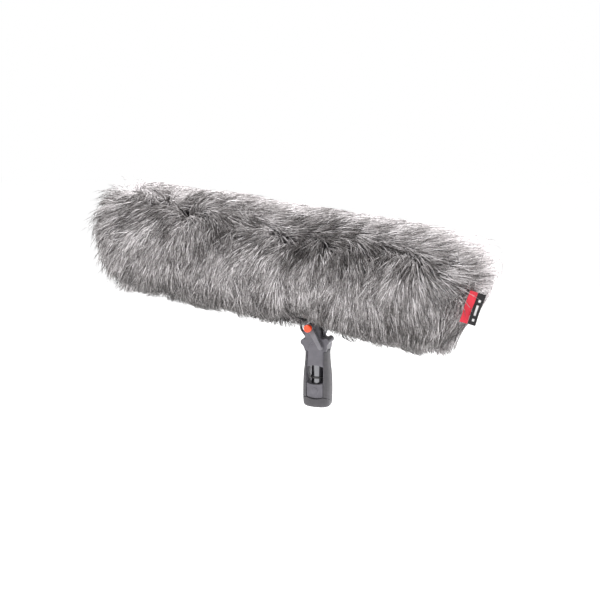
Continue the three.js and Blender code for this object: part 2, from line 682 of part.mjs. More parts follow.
piece(screen, 'fur_sleeve_front', sleeveFront(), looks.fur);
piece(screen, 'fur_sleeve_middle', sleeveMiddle(), looks.fur);
piece(screen, 'fur_sleeve_rear', sleeveRear(), looks.fur);
piece(screen, 'fur_front_cap', furFrontCap(), looks.fur);
piece(screen, 'fur_rear_cap', furRearCap(), looks.fur);
piece(screen, 'slot_binding', slotBinding(), looks.fabric);
piece(screen, 'zip_tape', box([ZIP.from, -5.6, ZIP.low], [ZIP.to, 5.6, ZIP.high]), looks.fabric);
piece(screen, 'zip_slider', zipSlider(), looks.steel);
piece(screen, 'zip_pull', zipPull(), looks.steel);
piece(screen, 'label_ribbon', labelHalf(0, LABEL.fold), looks.ribbon);
piece(screen, 'label', labelHalf(LABEL.fold + GAP, LABEL.end), looks.fabric);

export default windscreen;
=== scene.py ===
import json
import math
from functools import partial

import bmesh
import bpy
import numpy as np
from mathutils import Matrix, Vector

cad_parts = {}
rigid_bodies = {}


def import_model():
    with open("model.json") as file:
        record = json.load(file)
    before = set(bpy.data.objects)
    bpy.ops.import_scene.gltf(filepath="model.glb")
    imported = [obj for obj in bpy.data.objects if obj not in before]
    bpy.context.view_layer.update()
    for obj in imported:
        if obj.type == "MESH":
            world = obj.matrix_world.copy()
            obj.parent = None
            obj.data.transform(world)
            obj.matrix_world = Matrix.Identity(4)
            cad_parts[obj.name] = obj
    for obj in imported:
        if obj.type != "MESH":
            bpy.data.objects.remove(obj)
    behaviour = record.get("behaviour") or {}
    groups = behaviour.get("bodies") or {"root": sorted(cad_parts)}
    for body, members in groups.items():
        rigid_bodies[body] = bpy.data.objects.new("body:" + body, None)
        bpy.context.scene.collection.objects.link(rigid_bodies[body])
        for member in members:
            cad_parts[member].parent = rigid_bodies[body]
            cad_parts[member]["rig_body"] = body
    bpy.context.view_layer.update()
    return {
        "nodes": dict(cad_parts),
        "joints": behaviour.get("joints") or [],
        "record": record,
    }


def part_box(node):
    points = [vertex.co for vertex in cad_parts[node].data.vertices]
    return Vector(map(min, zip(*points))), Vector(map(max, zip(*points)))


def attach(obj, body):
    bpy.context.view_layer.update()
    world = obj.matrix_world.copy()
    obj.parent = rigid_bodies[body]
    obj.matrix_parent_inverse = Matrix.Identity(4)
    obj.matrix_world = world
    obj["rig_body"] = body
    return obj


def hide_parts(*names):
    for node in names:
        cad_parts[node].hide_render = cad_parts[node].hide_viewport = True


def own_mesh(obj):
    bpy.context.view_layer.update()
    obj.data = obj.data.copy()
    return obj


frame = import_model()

scene = bpy.context.scene
nodes = frame["nodes"]
joints = {j["name"]: j for j in frame["joints"]}
rng = np.random.default_rng(20)

# ------------------------------------------------------------------ tube space
AXIS = np.array(joints["front_mount_slide"]["axis"], float)
AXIS = AXIS / np.linalg.norm(AXIS)
ACROSS = np.array([0.0, 1.0, 0.0])
UP = np.cross(AXIS, ACROSS)
PIVOT = np.array(joints["screen_tilt"]["pos_m"], float)
ON_AXIS = np.array(joints["front_cap_twist"]["pos_m"], float)
ORIGIN = ON_AXIS + AXIS * ((PIVOT - ON_AXIS) @ AXIS)
TO_WORLD = np.stack([AXIS, ACROSS, UP])


def to_world(points):
    return ORIGIN + points @ TO_WORLD


def to_tube(points):
    return (np.asarray(points, float) - ORIGIN) @ TO_WORLD.T


def node_points(node):
    return to_tube([v.co for v in nodes[node].data.vertices])


def span(node):
    """Where a node starts and ends along the tube, and its largest radius."""
    points = node_points(node)
    return points[:, 0].min(), points[:, 0].max(), np.hypot(points[:, 1], points[:, 2]).max()


SLEEVE_NODES = sorted(n for n in nodes if n.startswith("fur_sleeve"))
SEAM_FRONT = min(span(n)[0] for n in SLEEVE_NODES)
SEAM_REAR = max(span(n)[1] for n in SLEEVE_NODES)
FUR_R = max(span(n)[2] for n in SLEEVE_NODES)
FUR_TIP = span("fur_front_cap")[0]
FUR_END = span("fur_rear_cap")[1]
SLEEVE = SEAM_REAR - SEAM_FRONT

# ---------------------------------------------------------------------- camera
CAMERA_TURN = math.radians(20)
CAMERA_HEIGHT = math.radians(10)
CAMERA_DISTANCE = 1.1
LENS_MM = 46.2
AIM_FROM_PIVOT = (-0.0186, -0.0084, 0.0363)


def make_camera():
    aim = Vector(PIVOT) + Vector(AIM_FROM_PIVOT)
    back = Vector((
        math.sin(CAMERA_TURN) * math.cos(CAMERA_HEIGHT),
        -math.cos(CAMERA_TURN) * math.cos(CAMERA_HEIGHT),
        math.sin(CAMERA_HEIGHT),
    ))
    data = bpy.data.cameras.new("camera")
    data.lens = LENS_MM
    camera = bpy.data.objects.new("camera", data)
    camera.location = aim + back * CAMERA_DISTANCE
    camera.rotation_euler = back.to_track_quat("Z", "Y").to_euler()
    scene.collection.objects.link(camera)
    scene.camera = camera


make_camera()

# --------------------------------------------------------------- stage, lights
FLOOR_Z = -0.42
FLOOR_HALF = 30.0
FLOOR_GLOW = 0.55  # keeps the floor as pale as the surroundings
SURROUND = 0.5  # how strongly the white surroundings light the object
LIT_POINT = (0, 0, 0.15)
LIGHTS = [
    # name, place, width and height, watts
    ("top", (0.35, 0.75, 1.7), (1.6, 1.0), 56),
    ("front", (-0.75, -1.6, 1.15), (0.9, 1.1), 27),
    ("rear", (1.4, 1.0, 0.75), (0.8, 0.8), 38),
]


def make_floor():
    """A plain pale floor, well below the object, which a pole holds up."""
    mesh = bpy.data.meshes.new("floor")
    signs = ((-1, -1), (1, -1), (1, 1), (-1, 1))
    corners = [(x * FLOOR_HALF, y * FLOOR_HALF, FLOOR_Z) for x, y in signs]
    mesh.from_pydata(corners, [], [(0, 1, 2, 3)])
    floor = bpy.data.objects.new("floor", mesh)
    scene.collection.objects.link(floor)
    material = new_material("floor", (0.9, 0.9, 0.9), 0.9)
    shader_of(material).inputs["Emission Color"].default_value = (1, 1, 1, 1)
    shader_of(material).inputs["Emission Strength"].default_value = FLOOR_GLOW
    floor.data.materials.append(material)


def add_light(name, place, size, power):
    data = bpy.data.lights.new(name, "AREA")
    data.shape = "RECTANGLE"
    data.size, data.size_y = size
    data.energy = power
    light = bpy.data.objects.new(name, data)
    light.location = place
    light.rotation_euler = (Vector(place) - Vector(LIT_POINT)).to_track_quat("Z", "Y").to_euler()
    scene.collection.objects.link(light)


def make_lights():
    for light in LIGHTS:
        add_light(*light)
    world = bpy.data.worlds.new("world")
    world.use_nodes = True
    tree = world.node_tree
    tree.nodes["Background"].inputs["Strength"].default_value = SURROUND
    tree.nodes["Background"].inputs["Color"].default_value = (1, 1, 1, 1)
    backdrop = tree.nodes.new("ShaderNodeBackground")
    backdrop.inputs["Color"].default_value = (1, 1, 1, 1)
    backdrop.inputs["Strength"].default_value = 1.0
    ray = tree.nodes.new("ShaderNodeLightPath")
    mix = tree.nodes.new("ShaderNodeMixShader")
    tree.links.new(ray.outputs["Is Camera Ray"], mix.inputs["Fac"])
    tree.links.new(tree.nodes["Background"].outputs["Background"], mix.inputs[1])
    tree.links.new(backdrop.outputs["Background"], mix.inputs[2])
    tree.links.new(mix.outputs["Shader"], tree.nodes["World Output"].inputs["Surface"])
    scene.world = world
    scene.view_settings.view_transform = "Standard"


# ------------------------------------------------------------------- materials
def new_material(name, colour, roughness, metallic=0.0, specular=0.5):
    material = bpy.data.materials.new(name)
    material.use_nodes = True
    shader = material.node_tree.nodes["Principled BSDF"]
    shader.inputs["Base Color"].default_value = (*colour, 1)
    shader.inputs["Roughness"].default_value = roughness
    shader.inputs["Metallic"].default_value = metallic
    shader.inputs["Specular IOR Level"].default_value = specular
    material.diffuse_color = (*colour, 1)
    return material


def shader_of(material):
    return material.node_tree.nodes["Principled BSDF"]


def add_node(material, kind, **inputs):
    node = material.node_tree.nodes.new(kind)
    for name, value in inputs.items():
        node.inputs[name.replace("_", " ")].default_value = value
    return node


def link(material, start, end):
    material.node_tree.links.new(start, end)


def noise(material, scale, detail=4.0, roughness=0.6, stretch=(1, 1, 1)):
    """Noise in object space, at a scale in turns per metre."""
    place = material.node_tree.nodes.new("ShaderNodeTexCoord")
    mapping = material.node_tree.nodes.new("ShaderNodeMapping")
    mapping.inputs["Scale"].default_value = stretch
    link(material, place.outputs["Object"], mapping.inputs["Vector"])
    texture = add_node(material, "ShaderNodeTexNoise", Scale=scale, Detail=detail, Roughness=roughness)
    link(material, mapping.outputs["Vector"], texture.inputs["Vector"])
    return texture.outputs["Fac"]


def ramp(material, fac, stops):
    """A colour ramp over a value; stops are (place, colour)."""
    node = material.node_tree.nodes.new("ShaderNodeValToRGB")
    while len(node.color_ramp.elements) < len(stops):
        node.color_ramp.elements.new(0.5)
    for element, (place, colour) in zip(node.color_ramp.elements, stops):
        element.position = place
        element.color = (*colour, 1)
    link(material, fac, node.inputs["Fac"])
    return node.outputs["Color"]


def bump(material, height, strength, distance):
    node = add_node(material, "ShaderNodeBump", Strength=strength, Distance=distance)
    link(material, height, node.inputs["Height"])
    link(material, node.outputs["Normal"], shader_of(material).inputs["Normal"])


def shaded(colour, factor):
    return tuple(min(1.0, c * factor) for c in colour)


def moulded(name, colour, roughness, grain=2600.0, depth=0.00012):
    """Moulded plastic or rubber: mottled colour, uneven gloss and a fine grain."""
    material = new_material(name, colour, roughness)
    shader = shader_of(material)
    mottle = noise(material, 90.0)
    tint = ramp(material, mottle, [(0.3, shaded(colour, 0.85)), (0.7, shaded(colour, 1.15))])
    link(material, tint, shader.inputs["Base Color"])
    gloss = ramp(material, noise(material, 260.0),
                 [(0.3, (roughness * 0.85,) * 3), (0.7, (min(1, roughness * 1.15),) * 3)])
    link(material, gloss, shader.inputs["Roughness"])
    bump(material, noise(material, grain, 2.0), 0.5, depth)
    return material


STREAK = (1, 1, 8)  # drawn metal's streaks lie across the third axis


def metal(name, colour, roughness):
    """Metal with faint drawn or turned streaks."""
    material = new_material(name, colour, roughness, 1.0)
    shader = shader_of(material)
    lines = noise(material, 500.0, 3.0, 0.6, STREAK)
    tint = ramp(material, lines, [(0.3, shaded(colour, 0.88)), (0.7, shaded(colour, 1.08))])
    link(material, tint, shader.inputs["Base Color"])
    gloss = ramp(material, lines, [(0.3, (roughness * 0.8,) * 3), (0.7, (roughness * 1.3,) * 3)])
    link(material, gloss, shader.inputs["Roughness"])
    return material


WEAVE_CONTRAST = 0.35
WEAVE_DEPTH = 0.0002
WAVE_PER_PITCH = 0.3  # the wave scale, times the pitch, that gives one thread a pitch


def woven(name, colour, pitch):
    """Woven tape or net: crossed threads at a pitch in metres."""
    material = new_material(name, colour, 0.85)
    shader = shader_of(material)
    place = material.node_tree.nodes.new("ShaderNodeTexCoord")
    threads = []
    for direction in "XZ":
        wave = add_node(material, "ShaderNodeTexWave", Scale=WAVE_PER_PITCH / pitch, Distortion=0.6)
        wave.bands_direction = direction
        wave.inputs["Detail Scale"].default_value = 30.0
        link(material, place.outputs["Object"], wave.inputs["Vector"])
        threads.append(wave.outputs["Fac"])
    both = material.node_tree.nodes.new("ShaderNodeMath")
    both.operation = "MULTIPLY"
    link(material, threads[0], both.inputs[0])
    link(material, threads[1], both.inputs[1])
    tint = ramp(material, both.outputs[0], [(0.0, shaded(colour, 1 - WEAVE_CONTRAST)),
                                            (1.0, shaded(colour, 1 + WEAVE_CONTRAST))])
    link(material, tint, shader.inputs["Base Color"])
    bump(material, both.outputs[0], 0.6, WEAVE_DEPTH)
    return material


MATERIALS = {
    "plastic": moulded("grey_plastic", (0.105, 0.1, 0.115), 0.5),
    "rubber": moulded("grey_rubber", (0.066, 0.063, 0.069), 0.6, 3200.0),
    "dark_plastic": moulded("black_plastic", (0.022, 0.021, 0.022), 0.45),
    "red_plastic": moulded("red_plastic", (1.0, 0.075, 0.02), 0.3, 1200.0, 0.00004),
    "chrome": metal("black_chrome", (0.2, 0.2, 0.21), 0.1),
    "steel": metal("plated_steel", (0.42, 0.42, 0.44), 0.3),
    "brass": metal("turned_brass", (0.6, 0.44, 0.19), 0.32),
    "mesh": woven("acoustic_mesh", (0.02, 0.02, 0.021), 0.0009),
    "fabric": woven("black_tape", (0.018, 0.016, 0.018), 0.0008),
    "ribbon": woven("red_tape", (0.72, 0.035, 0.06), 0.0008),
}


# ---------------------------------------------------------------- mesh helpers
def add_piece(name, mesh, body, materials, smooth=True):
    piece = bpy.data.objects.new(name, mesh)
    scene.collection.objects.link(piece)
    for material in materials:
        piece.data.materials.append(material)
    if smooth:
        piece.data.polygons.foreach_set("use_smooth", [True] * len(piece.data.polygons))
    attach(piece, body)
    return piece


def apply_modifiers(piece):
    evaluated = piece.evaluated_get(bpy.context.evaluated_depsgraph_get())
    mesh = bpy.data.meshes.new_from_object(evaluated)
    piece.modifiers.clear()
    piece.data = mesh


def body_of(node):
    return nodes[node]["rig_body"]


def slot_of(node):
    return next(s["material_slot"] for s in frame["record"]["subparts"] if s["node"] == node)


def softened(node, name, voxel, passes, material):
    """A fine copy of a CAD node with its corners rounded off, shown in its place."""
    piece = bpy.data.objects.new(name, nodes[node].data.copy())
    scene.collection.objects.link(piece)
    piece.data.materials.clear()
    remesh = piece.modifiers.new("remesh", "REMESH")
    remesh.mode = "VOXEL"
    remesh.voxel_size = voxel
    smooth = piece.modifiers.new("smooth", "SMOOTH")
    smooth.factor = 0.5
    smooth.iterations = passes
    apply_modifiers(piece)
    piece.data.materials.append(material)
    piece.data.polygons.foreach_set("use_smooth", [True] * len(piece.data.polygons))
    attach(piece, body_of(node))
    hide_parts(node)
    return piece


# ------------------------------------------------------------------ fur fields
LATTICE = 32
LATTICE_SHIFT = 7.3  # keeps the pattern's repeats off the origin


def lattice_noise(points, size, seed):
    """Smooth random values from -1 to 1 that change over about size metres."""
    table = np.random.default_rng(seed).uniform(-1, 1, (LATTICE, LATTICE, LATTICE))
    scaled = points / size + LATTICE_SHIFT
    cell = np.floor(scaled).astype(int)
    part = scaled - cell
    part = part * part * (3 - 2 * part)
    total = np.zeros(len(points))
    for corner in np.ndindex(2, 2, 2):
        weight = np.prod(np.where(np.array(corner) == 1, part, 1 - part), axis=1)
        index = (cell + corner) % LATTICE
        total += weight * table[index[:, 0], index[:, 1], index[:, 2]]
    return total


def vector_noise(points, size, seed):
    return np.stack([lattice_noise(points, size, seed + k) for k in range(3)], axis=1)


def normalised(vectors):
    return vectors / np.maximum(np.linalg.norm(vectors, axis=1), 1e-9)[:, None]


def smoothstep(low, high, value):
    t = np.clip((value - low) / (high - low), 0, 1)
    return t * t * (3 - 2 * t)


DOWN = np.array([0.0, 0.0, -1.0])
PILE_RISE = 0.019  # how far the combed pile stands above its roots
ROOT_R = FUR_R - PILE_RISE
FRONT_SPARE = 0.004
REAR_RISE = 0.012  # the flat rear end's pile lies closer
FRONT_ROOT = FUR_TIP + PILE_RISE + FRONT_SPARE
REAR_ROOT = FUR_END - REAR_RISE
REAR_ROUND = 0.034  # the radius of the rear cap's rounded edge
ROUND_POINTS = 20
SLEEVE_POINTS = 60
END_POINTS = 10


def root_profile():
    """Points (x, r) of the surface the pile grows from, front pole to rear pole."""
    quarter = np.linspace(0, math.pi / 2, ROUND_POINTS)
    depth = SEAM_FRONT - FRONT_ROOT
    front = np.stack([SEAM_FRONT - depth * np.cos(quarter), ROOT_R * np.sin(quarter)], axis=1)
    sleeve_x = np.linspace(SEAM_FRONT, REAR_ROOT - REAR_ROUND, SLEEVE_POINTS)[1:]
    sleeve = np.stack([sleeve_x, np.full(len(sleeve_x), ROOT_R)], axis=1)
    rear = np.stack([
        REAR_ROOT - REAR_ROUND + REAR_ROUND * np.sin(quarter),
        ROOT_R - REAR_ROUND + REAR_ROUND * np.cos(quarter),
    ], axis=1)[1:]
    end_r = np.linspace(ROOT_R - REAR_ROUND, 0, END_POINTS)[1:]
    end = np.stack([np.full(len(end_r), REAR_ROOT), end_r], axis=1)
    return np.concatenate([front, sleeve, rear, end])


PROFILE = root_profile()
REAR_BEND = 0.13  # beyond these the cover's ends are cut back below
FRONT_BEND = SEAM_FRONT + 0.02
REAR_CUT = 0.033
FRONT_CUT = 0.026
CUT_RAMP = (0.03, -0.075)  # heights between which the cut grows to its full depth


def cut_back(points):
    """Moves the lower part of both ends inwards, where the slack cover is fullest above."""
    x, z = points[..., 0], points[..., 2]
    low = smoothstep(*CUT_RAMP, z)
    rear = np.maximum(x - REAR_BEND, 0) / (FUR_END - REAR_BEND)
    front = np.maximum(FRONT_BEND - x, 0) / (FRONT_BEND - FUR_TIP)
    moved = np.array(points, float)
    moved[..., 0] += low * (front * FRONT_CUT - rear * REAR_CUT)
    return moved


def around(x, r, angle):
    """Tube-space points at an angle from the top, growing towards the near side."""
    return np.stack([x, -r * np.sin(angle), r * np.cos(angle)], axis=1)


def scatter(count):
    """Roots spread evenly over the surface, with their normals and angles."""
    step = np.diff(PROFILE, axis=0)
    long = np.hypot(step[:, 0], step[:, 1])
    middle_r = (PROFILE[:-1, 1] + PROFILE[1:, 1]) / 2
    share = np.cumsum(long * middle_r)
    pick = np.searchsorted(share / share[-1], rng.random(count))
    part = rng.random(count)
    x = PROFILE[pick, 0] + step[pick, 0] * part
    r = PROFILE[pick, 1] + step[pick, 1] * part
    angle = rng.uniform(-math.pi, math.pi, count)
    normal_x = -step[pick, 1] / long[pick]
    normal_r = step[pick, 0] / long[pick]
    normals = np.stack([normal_x, -normal_r * np.sin(angle), normal_r * np.cos(angle)], axis=1)
    return around(x, r, angle), normals, angle


# the parting: (share of the sleeve's length, degrees from the top)
PARTING = [(-0.10, 30), (0.04, 36), (0.21, 38), (0.37, 48),
           (0.53, 50), (0.81, 43), (0.95, 52), (1.03, 72)]
PARTING_WAVE = 0.3  # radians that the parting wanders
PARTING_WIDTH = 0.34  # radians over which the pile turns from one side to the other
# how far the pile leans along the tube, as a share of its fall round it
FAR_LEAN = 0.75  # beyond the parting
REAR_LEAN = 0.34  # towards the labelled end
MIDDLE_LEAN = 0.36
FRONT_LEAN = 1.1
END_LEAN_ABOVE = 0.8
END_LEAN_BELOW = -0.5
SAG = 0.55
COARSE_STRAY = 0.55
FINE_STRAY = 0.5
# where each lean grows from nothing to its full share, along the tube or round it
FAR_RAMP = (0.15, -0.35)
REAR_RAMP = (0.07, 0.2)
MIDDLE_RAMP = (0.07, 0.0)
MIDDLE_X = -0.10
FRONT_RAMP = (SEAM_FRONT + 0.07, SEAM_FRONT - 0.01)
END_RAMP = (REAR_ROOT - 0.05, REAR_ROOT)
END_TURN = 1.15  # radians from the top at which the rear end's pile parts
SAG_RAMP = (0.1, 1.0)
# (size in metres, seed) of each pattern of lattice noise
PARTING_NOISE = (0.05, 21)
COARSE_NOISE = (0.045, 3)
FINE_NOISE = (0.014, 9)
LUMP_NOISE = (0.07, 31)
SMALL_LUMP_NOISE = (0.028, 32)
PATCH_NOISE = (0.05, 51)
SMALL_PATCH_NOISE = (0.022, 52)
DARK_HAIR_NOISE = (0.03, 53)
PARTING_SHADE_NOISE = (0.04, 54)


def parting_angle(x):
    share, degrees = np.array(PARTING).T
    return np.radians(np.interp((x - SEAM_FRONT) / SLEEVE, share, degrees))


def comb(points, normals, angle):
    """The way the pile lies, and how far round from the parting, in radians."""
    x = points[:, 0]
    offset = angle - parting_angle(x)
    wander = PARTING_WAVE * lattice_noise(points, *PARTING_NOISE)
    side = np.tanh((offset + wander) / PARTING_WIDTH)
    turn = np.stack([0 * angle, -np.cos(angle), -np.sin(angle)], axis=1)
    beyond = smoothstep(*FAR_RAMP, offset)
    along = FAR_LEAN * beyond
    along += (1 - beyond) * REAR_LEAN * smoothstep(*REAR_RAMP, x)
    along -= (1 - beyond) * MIDDLE_LEAN * smoothstep(*MIDDLE_RAMP, np.abs(x - MIDDLE_X))
    along -= FRONT_LEAN * smoothstep(*FRONT_RAMP, x)
    end_lean = np.where(angle < END_TURN, END_LEAN_ABOVE, END_LEAN_BELOW)
    along += smoothstep(*END_RAMP, x) * end_lean
    forward = np.array([[1.0, 0.0, 0.0]])
    sag = SAG * smoothstep(*SAG_RAMP, np.abs(offset))
    way = turn * side[:, None] + forward * along[:, None] + DOWN * sag[:, None]
    coarse = COARSE_STRAY * vector_noise(points, *COARSE_NOISE)
    fine = FINE_STRAY * vector_noise(points, *FINE_NOISE)
    way += coarse + fine
    way -= normals * (way * normals).sum(axis=1)[:, None]
    return normalised(way), offset


LUMPS = 0.8
SMALL_LUMPS = 0.4
ENDS_SINK = 0.8  # below both ends
CLAMP_SINK = 1.9  # above the clamp, which the pile leaves in view
CLAMP_X = 0.002
CLAMP_RAMP = (0.05, 0.025)
CLAMP_SIDE_RAMP = (1.0, 1.5)
FRONT_END_RAMP = (-0.22, -0.33)
REAR_END_RAMP = (0.12, 0.2)
ENDS_SIDE_RAMP = (0.9, 2.0)


def lump(points, angle):
    """How much the pile's outer form swells or sinks, from about -2 to 1."""
    x = points[:, 0]
    turned = np.abs(angle)
    ends_low = smoothstep(*FRONT_END_RAMP, x) + smoothstep(*REAR_END_RAMP, x)
    above_clamp = smoothstep(*CLAMP_RAMP, np.abs(x - CLAMP_X)) * smoothstep(*CLAMP_SIDE_RAMP, angle)
    large = LUMPS * lattice_noise(points, *LUMP_NOISE)
    small = SMALL_LUMPS * lattice_noise(points, *SMALL_LUMP_NOISE)
    ends = ENDS_SINK * ends_low * smoothstep(*ENDS_SIDE_RAMP, turned)
    return large + small - ends - CLAMP_SINK * above_clamp


# ----------------------------------------------------------------- fur strands
SHADES = 12
DARK = np.array([0.016, 0.012, 0.0105])
LIGHT = np.array([0.97, 0.93, 0.94])
EYE = 2.2  # shades are evenly spaced to the eye
SEGMENTS = 5
STRAND_SIDES = 3
STRANDS_PER_PIECE = 7000
TAPER = ([0, 0.3, 0.8, 1.0], [0.75, 1.0, 0.9, 0.6])  # thickness along a strand
LOCK_SIZE = 0.0075
TUFT_SIZE = 0.018
OUTER_GAP = 0.0035  # the outer form, below the cover's radius
LUMP_RISE = 0.0045  # and how much a lump lifts it
MOST_PROUD = 0.008  # how far tips may stand out of the outer form
HANG_MORE = 0.013  # and how much further the longest tufts hang below it
HANG_RAMP = (0.02, 0.06)
GIVE = 0.8  # how readily tips past the outer form stand out of it
FRONT_REACH = 0.016  # how far tips may pass the ends of the cover
REAR_REACH = 0.014


def fur_materials():
    """Shades from dark to light: a hair changes shade along its length."""
    shades = []
    for k in range(SHADES):
        t = k / (SHADES - 1)
        colour = (DARK ** (1 / EYE) * (1 - t) + LIGHT ** (1 / EYE) * t) ** EYE
        shade = new_material(f"pile_{k:02d}", tuple(float(c) for c in colour), 0.55, 0, 0.25)
        shader_of(shade).inputs["Sheen Weight"].default_value = 0.15
        shades.append(shade)
    return shades


# large odd numbers mix a cell's place and the seed into one number, and
# (factor, shift, modulus) turn that into a share from 0 to 1
CELL_MIX = (73856093, 19349663, 83492791)
FIRST_SHARE = (2654435761, 0, 65536)
SECOND_SHARE = (40503, 12345, 65521)
ENDS_SHIFT = 5.0  # keeps the ends' cells apart from the sleeve's


def share_of(mixed, factor, shift, modulus):
    return ((mixed * factor + shift) % modulus) / modulus


def clump_pull(points, angle, size, seed):
    """For each root, the vector to the middle of its clump, and the clump's own number."""
    chart = np.stack([points[:, 0], angle * ROOT_R], axis=1)
    ends = (points[:, 0] < SEAM_FRONT) | (points[:, 0] > REAR_ROOT - 0.002)
    chart[ends] = points[ends][:, 1:] + ENDS_SHIFT
    base = np.floor(chart / size).astype(int)
    best = np.full(len(points), np.inf)
    pull = np.zeros((len(points), 2))
    number = np.zeros(len(points))
    for di in (-1, 0, 1):
        for dj in (-1, 0, 1):
            cell = base + [di, dj]
            mixed = (cell[:, 0] * CELL_MIX[0]) ^ (cell[:, 1] * CELL_MIX[1]) ^ (seed * CELL_MIX[2])
            first = share_of(mixed, *FIRST_SHARE)
            second = share_of(mixed, *SECOND_SHARE)
            centre = (cell + np.stack([first, second], axis=1)) * size
            gap = centre - chart
            far = np.hypot(gap[:, 0], gap[:, 1])
            closer = far < best
            best[closer] = far[closer]
            pull[closer] = gap[closer]
            number[closer] = first[closer]
    turn = np.stack([0 * angle, -np.cos(angle), -np.sin(angle)], axis=1)
    along = np.tile([1.0, 0.0, 0.0], (len(points), 1))
    vector = along * pull[:, :1] + turn * pull[:, 1:]
    vector[ends] = np.concatenate([np.zeros((ends.sum(), 1)), pull[ends]], axis=1)
    return vector, number


SLOT_HALF_WIDTH = 0.014
TEETH_HALF_WIDTH = 0.003


def below_between(points, node, half_width):
    """Which points lie on the cover's underside along a node, near its middle."""
    low, high = span(node)[:2]
    x, y, z = points.T
    return (z < 0) & (x > low) & (x < high) & (np.abs(y) < half_width)


def bare(points):
    """Where no pile grows: the slot for the grip, and the zip."""
    slot = below_between(points, "slot_binding", SLOT_HALF_WIDTH)
    return slot | below_between(points, "zip_tape", TEETH_HALF_WIDTH)


# how each strand's length and rise vary: at random, and with its lump, lock and tuft
LENGTH_RANGE = (0.70, 1.12)
LENGTH_BY_LUMP = 0.10
LENGTH_BY_LOCK = 0.34
LENGTH_BY_TUFT = 0.22
LENGTH_BY_TUFT_BELOW = 0.35
RISE_RANGE = (0.7, 1.2)
RISE_BY_LUMP = 0.12
RISE_BY_TUFT = 0.4
RISE_AT_PARTING = 0.2
# a strand stands up at its root, then lies the way of the comb and droops
STAND = 1.25
STAND_CURVE = 1.2
LIE = 0.45
LIE_AT_TIP = 0.8
DROOP = 0.25
DROOP_BELOW = 0.5
# how firmly locks and tufts draw their tips together
HOLD_RANGE = (0.35, 0.9)
HOLD_RANGE_BELOW = (0.6, 0.98)
TUFT_HOLD = 0.4
TUFT_HOLD_BELOW = 0.5
LOCK_CURVE = 1.2
TUFT_CURVE = 1.5
BELOW_RAMP = (1.7, 2.5)  # radians from the top
PARTING_RAMP = (0.25, 0.0)


def strands(count, kind):
    """Centre lines (count, SEGMENTS + 1, 3) in tube space and their roots' facts."""
    roots, normals, angle = scatter(count)
    keep = ~bare(roots)
    roots, normals, angle = roots[keep], normals[keep], angle[keep]
    count = len(roots)
    way, offset = comb(roots, normals, angle)
    size = lump(roots, angle)
    under = smoothstep(*BELOW_RAMP, np.abs(angle))
    fine, lock = clump_pull(roots, angle, LOCK_SIZE, 1)
    coarse, tuft = clump_pull(roots, angle, TUFT_SIZE, 2)
    length = kind["length"] * (1 + LENGTH_BY_LUMP * size) * rng.uniform(*LENGTH_RANGE, count)
    by_tuft = LENGTH_BY_TUFT + LENGTH_BY_TUFT_BELOW * under
    length *= 1 + LENGTH_BY_LOCK * (lock - 0.5) + by_tuft * (tuft - 0.5)
    rise = rng.uniform(*RISE_RANGE, count) * (1 + RISE_BY_LUMP * size)
    rise = rise * (1 + RISE_BY_TUFT * (tuft - 0.5))
    rise *= 1 + RISE_AT_PARTING * smoothstep(*PARTING_RAMP, np.abs(offset))
    stray = kind["stray"] * rng.normal(size=(count, 3))
    line = np.empty((count, SEGMENTS + 1, 3))
    line[:, 0] = roots
    for k in range(1, SEGMENTS + 1):
        t = (k - 0.5) / SEGMENTS
        stand = STAND * (1 - t) ** STAND_CURVE * rise
        droop = (DROOP + DROOP_BELOW * under) * t
        lie = LIE + LIE_AT_TIP * t
        push = normals * stand[:, None] + way * lie + DOWN * droop[:, None] + stray
        line[:, k] = line[:, k - 1] + normalised(push) * (length / SEGMENTS)[:, None]
    share = np.arange(SEGMENTS + 1) / SEGMENTS
    hold = rng.uniform(*HOLD_RANGE, count) * (1 - under)
    hold += rng.uniform(*HOLD_RANGE_BELOW, count) * under
    heavy = TUFT_HOLD + TUFT_HOLD_BELOW * under
    for k in range(1, SEGMENTS + 1):
        line[:, k] += fine * (hold * share[k] ** LOCK_CURVE)[:, None]
        line[:, k] += coarse * (heavy * hold * share[k] ** TUFT_CURVE)[:, None]
    return cut_back(squeeze(line, size, tuft)), roots, angle, offset, lock, tuft


def squeeze(line, size, tuft):
    """Keeps the pile near the cover's outer form, give or take its lumps and its tips."""
    limit = FUR_R - OUTER_GAP + LUMP_RISE * size[:, None]
    radius = np.hypot(line[..., 1], line[..., 2])
    over = np.maximum(radius - limit, 0)
    hang = MOST_PROUD + HANG_MORE * (tuft ** 2)[:, None] * smoothstep(*HANG_RAMP, -line[..., 2])
    held = np.where(over > 0, limit + hang * np.tanh(over * GIVE / hang), radius)
    factor = held / np.maximum(radius, 1e-6)
    line[..., 1] *= factor
    line[..., 2] *= factor
    line[..., 0] = np.clip(line[..., 0], FUR_TIP - FRONT_REACH, FUR_END + REAR_REACH)
    return line


TONE = 0.93
PATCH_TONE = 0.09
LOCK_TONE = 0.24
TUFT_TONE = 0.14
PARTING_PAINTED_SHADE = 0.34  # painted shade: how much darker the pile is along the parting, where it opens down to its roots
PARTING_SHADE_WIDTH = 0.24
TOP_PAINTED_LIGHT = 0.22  # painted light: how much lighter the pile is beyond the parting, over the top, where the top light falls
# painted light: how much lighter the upper part of the rear end is, lit from behind
REAR_PAINTED_LIGHT = 0.34
# painted shade: how much darker the pile is on the underside, away from the lights
UNDERSIDE_PAINTED_SHADE = 0.40
DARK_HAIR = (0.22, 0.5)  # how much darker a dark hair is, at least and at most
TONE_SPREAD = 0.08


